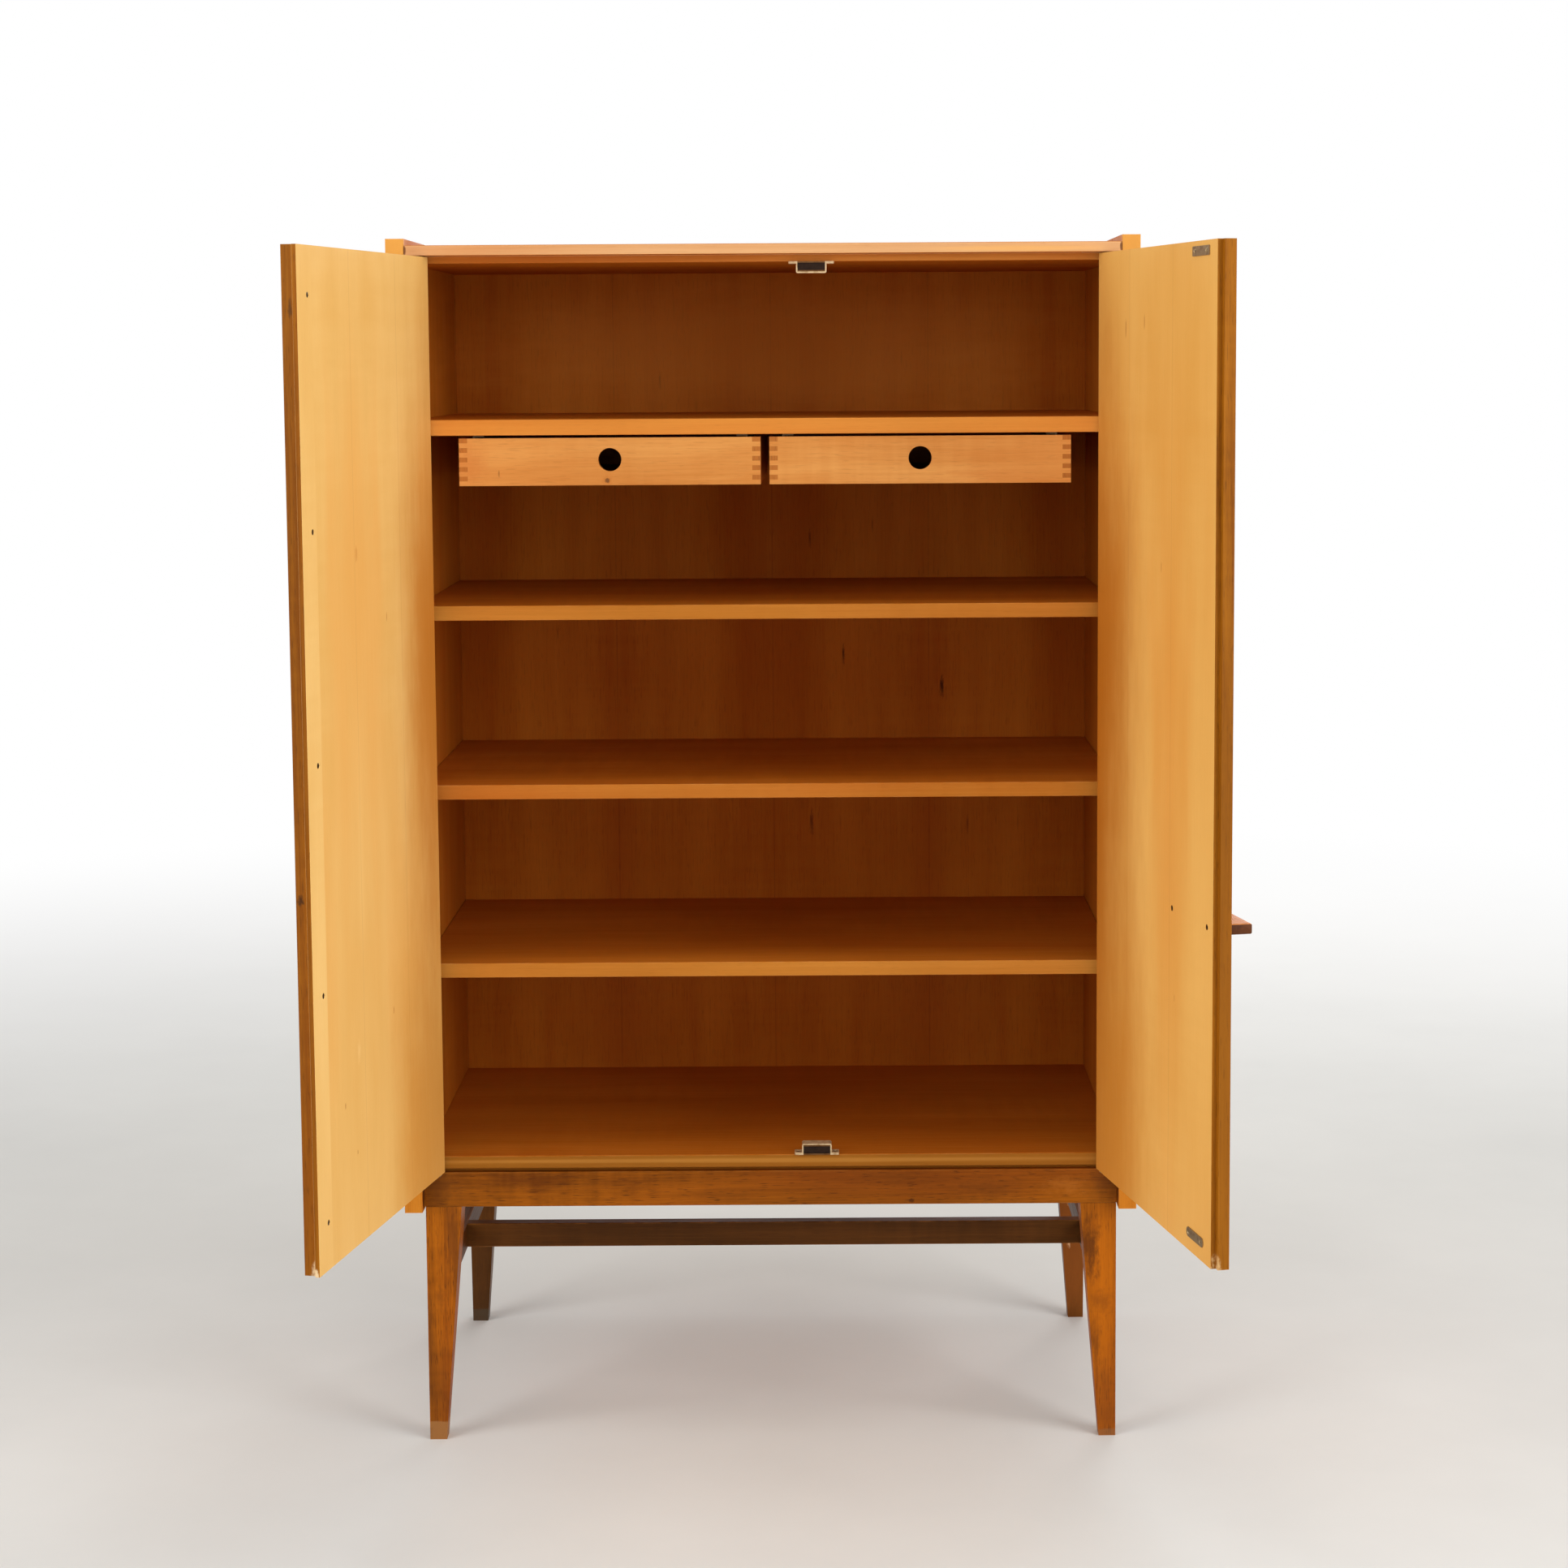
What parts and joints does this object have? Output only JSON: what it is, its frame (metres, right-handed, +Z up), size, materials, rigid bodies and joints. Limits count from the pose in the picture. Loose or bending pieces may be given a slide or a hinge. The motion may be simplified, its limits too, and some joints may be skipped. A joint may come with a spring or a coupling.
{
  "type": "highboard",
  "caption": "Tall wooden cabinet on tapered legs, with two pivoting doors, hanging finger-jointed drawers, loose shelves and magnetic catches.",
  "frame": {"origin": "on the floor, under the middle of the cabinet's width and of the side panels' depth", "axes": "+X to the cabinet's right as seen from the front, the front faces -Y, +Z up"},
  "size_m": [0.9214, 0.8002, 1.32],
  "materials": {
    "carcass_wood": "satin lacquered birch veneer",
    "shelf_wood": "satin lacquered birch veneer",
    "back_board": "satin lacquered plywood",
    "door_wood": "satin lacquered veneer",
    "strip_wood": "satin lacquered birch",
    "drawer_wood": "satin lacquered birch",
    "drawer_base": "thin plywood",
    "base_wood": "satin lacquered oak",
    "handle_wood": "dark polished teak",
    "catch_case": "brushed",
    "magnet": "dull black ferrite",
    "pole_steel": "nickel plated, worn",
    "rail_steel": "zinc plated",
    "hinge_steel": "satin",
    "screw_steel": "darkened steel",
    "pin_metal": "satin"
  },
  "bodies": {
    "cabinet": {"side_panel_left": "carcass_wood", "side_panel_right": "carcass_wood", "top_panel": "carcass_wood", "bottom_panel": "carcass_wood", "fixed_shelf": "carcass_wood", "back_panel": "back_board", "apron_front": "base_wood", "apron_rear": "base_wood", "side_rail_left": "base_wood", "side_rail_right": "base_wood", "leg_front_left": "base_wood", "leg_front_right": "base_wood", "leg_rear_left": "base_wood", "leg_rear_right": "base_wood", "stretcher_left": "base_wood", "stretcher_right": "base_wood", "stretcher_cross": "base_wood", "catch_bracket_top": "catch_case", "catch_bracket_bottom": "catch_case", "catch_magnet_top": "magnet", "catch_magnet_bottom": "magnet", "catch_pole_plates": "pole_steel", "rail_left_outer": "rail_steel", "rail_left_inner": "rail_steel", "rail_right_inner": "rail_steel", "rail_right_outer": "rail_steel", "hinge_left_top": "hinge_steel", "hinge_left_bottom": "hinge_steel", "hinge_right_top": "hinge_steel", "hinge_right_bottom": "hinge_steel", "back_panel_screws": "screw_steel", "catch_screws": "screw_steel", "rail_screws": "screw_steel", "shelf_pins_upper": "pin_metal", "shelf_pins_middle": "pin_metal", "shelf_pins_lower": "pin_metal"},
    "left_door": {"left_door": "door_wood", "closing_strip": "strip_wood", "closing_strip_screws": "screw_steel"},
    "right_door": {"right_door": "door_wood", "handle": "handle_wood", "handle_screws": "screw_steel", "strike_plate_top": "pole_steel", "strike_plate_bottom": "pole_steel", "strike_plate_screws": "screw_steel"},
    "left_drawer": {"left_drawer_front": "drawer_wood", "left_drawer_back": "drawer_wood", "left_drawer_side_left": "drawer_wood", "left_drawer_side_right": "drawer_wood", "left_drawer_bottom": "drawer_base"},
    "right_drawer": {"right_drawer_front": "drawer_wood", "right_drawer_back": "drawer_wood", "right_drawer_side_left": "drawer_wood", "right_drawer_side_right": "drawer_wood", "right_drawer_bottom": "drawer_base"},
    "shelf_upper": {"shelf_upper": "shelf_wood"},
    "shelf_middle": {"shelf_middle": "shelf_wood"},
    "shelf_lower": {"shelf_lower": "shelf_wood"}
  },
  "joints": [
    {"name": "left_door_hinge", "type": "hinge", "parent": "cabinet", "child": "left_door", "pos_m": [-0.3672, -0.21295, 0.8], "axis": [0, 0, -1], "range_deg": [-101.3, 8.7]},
    {"name": "right_door_hinge", "type": "hinge", "parent": "cabinet", "child": "right_door", "pos_m": [0.3672, -0.21295, 0.8], "axis": [0, 0, 1], "range_deg": [-102.2, 7.8]},
    {"name": "left_drawer_slide", "type": "slide", "parent": "cabinet", "child": "left_drawer", "axis": [0, -1, 0], "range_m": [0, 0.25]},
    {"name": "right_drawer_slide", "type": "slide", "parent": "cabinet", "child": "right_drawer", "axis": [0, -1, 0], "range_m": [0, 0.25]},
    {"name": "shelf_upper_lift", "type": "slide", "parent": "cabinet", "child": "shelf_upper", "axis": [0, 0, 1], "range_m": [0, 0.03]},
    {"name": "shelf_middle_lift", "type": "slide", "parent": "cabinet", "child": "shelf_middle", "axis": [0, 0, 1], "range_m": [0, 0.03]},
    {"name": "shelf_lower_lift", "type": "slide", "parent": "cabinet", "child": "shelf_lower", "axis": [0, 0, 1], "range_m": [0, 0.03]}
  ]
}
